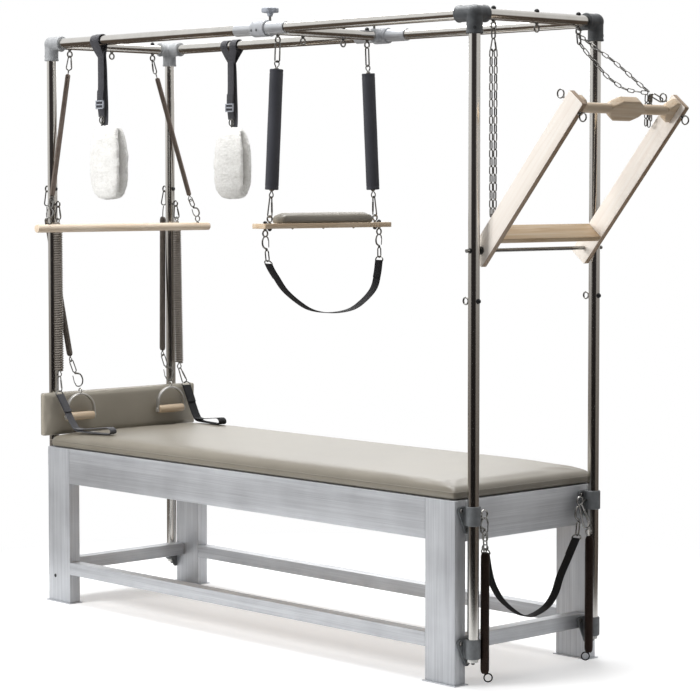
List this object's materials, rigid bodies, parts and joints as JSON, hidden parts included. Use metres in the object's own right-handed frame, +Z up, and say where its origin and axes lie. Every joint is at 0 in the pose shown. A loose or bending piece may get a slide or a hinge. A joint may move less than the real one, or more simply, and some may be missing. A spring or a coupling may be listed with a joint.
{
  "type": "pilates trapeze table",
  "caption": "Padded exercise bed under a tubular canopy frame, with a sliding trapeze, roll-down bar, push-through bar, springs, slings, handles and foot loops.",
  "frame": {"origin": "middle of the whole table's outline, on the floor", "axes": "+X along the bed towards the foot end, +Y to the far side, +Z up"},
  "size_m": [2.7802, 0.862, 2.255],
  "materials": {
    "bed_profile": "satin anodised",
    "polished_tube": "polished",
    "fitting": "satin cast",
    "bracket": "grey satin paint",
    "vinyl": "warm grey upholstery vinyl",
    "deck_ply": "raw plywood",
    "maple": "clear satin lacquer",
    "knob_plastic": "black moulded",
    "webbing": "dark grey woven webbing",
    "sling_fleece": "white fleece on dark webbing",
    "leg_spring": "nickel plated",
    "dark_spring": "dark plated",
    "zinc": "zinc plated"
  },
  "bodies": {
    "table": {"head_end_frame": "bed_profile", "foot_end_frame": "bed_profile", "bed_deck": "deck_ply", "mattress": "vinyl", "headboard": "vinyl", "head_crossbar": "polished_tube", "foot_crossbar": "polished_tube", "push_pivot_rod": "zinc", "near_side_apron": "bed_profile", "near_side_stretcher": "bed_profile", "near_rail": "polished_tube", "head_near_post": "polished_tube", "head_near_corner_fitting": "fitting", "head_near_upper_bracket": "bracket", "head_near_lower_bracket": "bracket", "foot_near_post": "polished_tube", "foot_near_corner_fitting": "fitting", "foot_near_upper_bracket": "bracket", "foot_near_lower_bracket": "bracket", "far_side_apron": "bed_profile", "far_side_stretcher": "bed_profile", "far_rail": "polished_tube", "head_far_post": "polished_tube", "head_far_corner_fitting": "fitting", "head_far_upper_bracket": "bracket", "head_far_lower_bracket": "bracket", "foot_far_post": "polished_tube", "foot_far_corner_fitting": "fitting", "foot_far_upper_bracket": "bracket", "foot_far_lower_bracket": "bracket"},
    "slide": {"slide_bar": "polished_tube"},
    "near_knob": {"near_slide_knob": "knob_plastic"},
    "far_knob": {"far_slide_knob": "knob_plastic"},
    "trapeze": {"near_trapeze_spring": "webbing", "far_trapeze_spring": "webbing", "trapeze_plank": "maple", "trapeze_cushion": "vinyl"},
    "trapeze_strap": {"trapeze_foot_strap": "webbing"},
    "roll_down": {"roll_down_bar": "maple", "near_roll_down_spring": "dark_spring", "far_roll_down_spring": "dark_spring"},
    "push_bar": {"near_push_board": "maple", "far_push_board": "maple", "push_shelf": "maple", "push_handle": "maple"},
    "near_chain": {"near_safety_chain": "zinc"},
    "far_chain": {"far_safety_chain": "zinc"},
    "foot_end_strap": {"foot_strap": "webbing"},
    "near_leg_spring_body": {"near_leg_spring": "leg_spring"},
    "near_foot_loop_body": {"near_foot_loop": "webbing"},
    "near_arm_spring_body": {"near_arm_spring": "dark_spring"},
    "near_hand_grip_body": {"near_hand_grip": "zinc"},
    "near_foot_spring_body": {"near_foot_spring": "dark_spring"},
    "near_sling_body": {"near_sling": "sling_fleece"},
    "far_leg_spring_body": {"far_leg_spring": "leg_spring"},
    "far_foot_loop_body": {"far_foot_loop": "webbing"},
    "far_arm_spring_body": {"far_arm_spring": "dark_spring"},
    "far_hand_grip_body": {"far_hand_grip": "zinc"},
    "far_foot_spring_body": {"far_foot_spring": "dark_spring"},
    "far_sling_body": {"far_sling": "sling_fleece"}
  },
  "joints": [
    {"name": "slide_bar_slide", "type": "slide", "parent": "table", "child": "slide", "axis": [1, 0, 0], "range_m": [-0.45, 0.55]},
    {"name": "trapeze_swing", "type": "hinge", "parent": "slide", "child": "trapeze", "pos_m": [-0.0851, 0, 2.133], "axis": [0, 1, 0], "range_deg": [-15, 15]},
    {"name": "trapeze_strap_swing", "type": "hinge", "parent": "trapeze", "child": "trapeze_strap", "pos_m": [-0.0851, 0, 1.447], "axis": [0, 1, 0], "range_deg": [-20, 20]},
    {"name": "roll_down_swing", "type": "hinge", "parent": "table", "child": "roll_down", "pos_m": [-1.3351, 0, 2.133], "axis": [0, -1, 0], "range_deg": [0, 15]},
    {"name": "push_bar_fold", "type": "hinge", "parent": "table", "child": "push_bar", "pos_m": [0.9539, 0, 1.418], "axis": [0, -1, 0], "range_deg": [0, 30]},
    {"name": "near_chain_swing", "type": "hinge", "parent": "table", "child": "near_chain", "pos_m": [0.9539, -0.207, 2.133], "axis": [0, 1, 0], "range_deg": [-12, 12]},
    {"name": "far_chain_swing", "type": "hinge", "parent": "table", "child": "far_chain", "pos_m": [0.9539, 0.207, 2.133], "axis": [0, -1, 0], "range_deg": [-55.5, 0]},
    {"name": "foot_strap_swing", "type": "hinge", "parent": "table", "child": "foot_end_strap", "pos_m": [0.9469, 0, 0.543], "axis": [0, -1, 0], "range_deg": [0, 30]},
    {"name": "near_knob_turn", "type": "hinge", "parent": "slide", "child": "near_knob", "pos_m": [-0.0851, -0.255, 2.238], "axis": [0, 0, 1], "continuous": true},
    {"name": "near_leg_spring_swing", "type": "hinge", "parent": "table", "child": "near_leg_spring_body", "pos_m": [-1.2991, -0.295, 1.544], "axis": [-1, 0, 0], "range_deg": [0, 6]},
    {"name": "near_foot_loop_lift", "type": "hinge", "parent": "near_leg_spring_body", "child": "near_foot_loop_body", "pos_m": [-1.2891, -0.302, 0.864], "axis": [0, -1, 0], "range_deg": [0, 45]},
    {"name": "near_arm_spring_swing", "type": "hinge", "parent": "table", "child": "near_arm_spring_body", "pos_m": [-1.3711, -0.295, 1.604], "axis": [1, 0, 0], "range_deg": [0, 6]},
    {"name": "near_hand_grip_swing", "type": "hinge", "parent": "near_arm_spring_body", "child": "near_hand_grip_body", "pos_m": [-1.2541, -0.227, 0.835], "axis": [1, 0, 0], "range_deg": [-10, 10]},
    {"name": "near_foot_spring_swing", "type": "hinge", "parent": "table", "child": "near_foot_spring_body", "pos_m": [0.9469, -0.236, 0.543], "axis": [0, -1, 0], "range_deg": [0, 20]},
    {"name": "near_sling_swing", "type": "hinge", "parent": "table", "child": "near_sling_body", "pos_m": [-0.9921, -0.295, 2.18], "axis": [1, 0, 0], "range_deg": [-12, 12]},
    {"name": "far_knob_turn", "type": "hinge", "parent": "slide", "child": "far_knob", "pos_m": [-0.0851, 0.255, 2.238], "axis": [0, 0, 1], "continuous": true},
    {"name": "far_leg_spring_swing", "type": "hinge", "parent": "table", "child": "far_leg_spring_body", "pos_m": [-1.2991, 0.295, 1.544], "axis": [1, 0, 0], "range_deg": [0, 6]},
    {"name": "far_foot_loop_lift", "type": "hinge", "parent": "far_leg_spring_body", "child": "far_foot_loop_body", "pos_m": [-1.2891, 0.302, 0.864], "axis": [0, -1, 0], "range_deg": [0, 45]},
    {"name": "far_arm_spring_swing", "type": "hinge", "parent": "table", "child": "far_arm_spring_body", "pos_m": [-1.3711, 0.295, 1.604], "axis": [-1, 0, 0], "range_deg": [0, 6]},
    {"name": "far_hand_grip_swing", "type": "hinge", "parent": "far_arm_spring_body", "child": "far_hand_grip_body", "pos_m": [-1.2541, 0.227, 0.835], "axis": [1, 0, 0], "range_deg": [-10, 10]},
    {"name": "far_foot_spring_swing", "type": "hinge", "parent": "table", "child": "far_foot_spring_body", "pos_m": [0.9469, 0.236, 0.543], "axis": [0, -1, 0], "range_deg": [0, 20]},
    {"name": "far_sling_swing", "type": "hinge", "parent": "table", "child": "far_sling_body", "pos_m": [-0.9921, 0.295, 2.18], "axis": [1, 0, 0], "range_deg": [-12, 12]}
  ],
  "couplings": [
    {"joint": "far_chain_swing", "follows": "push_bar_fold", "ratio": -1.8333}
  ]
}
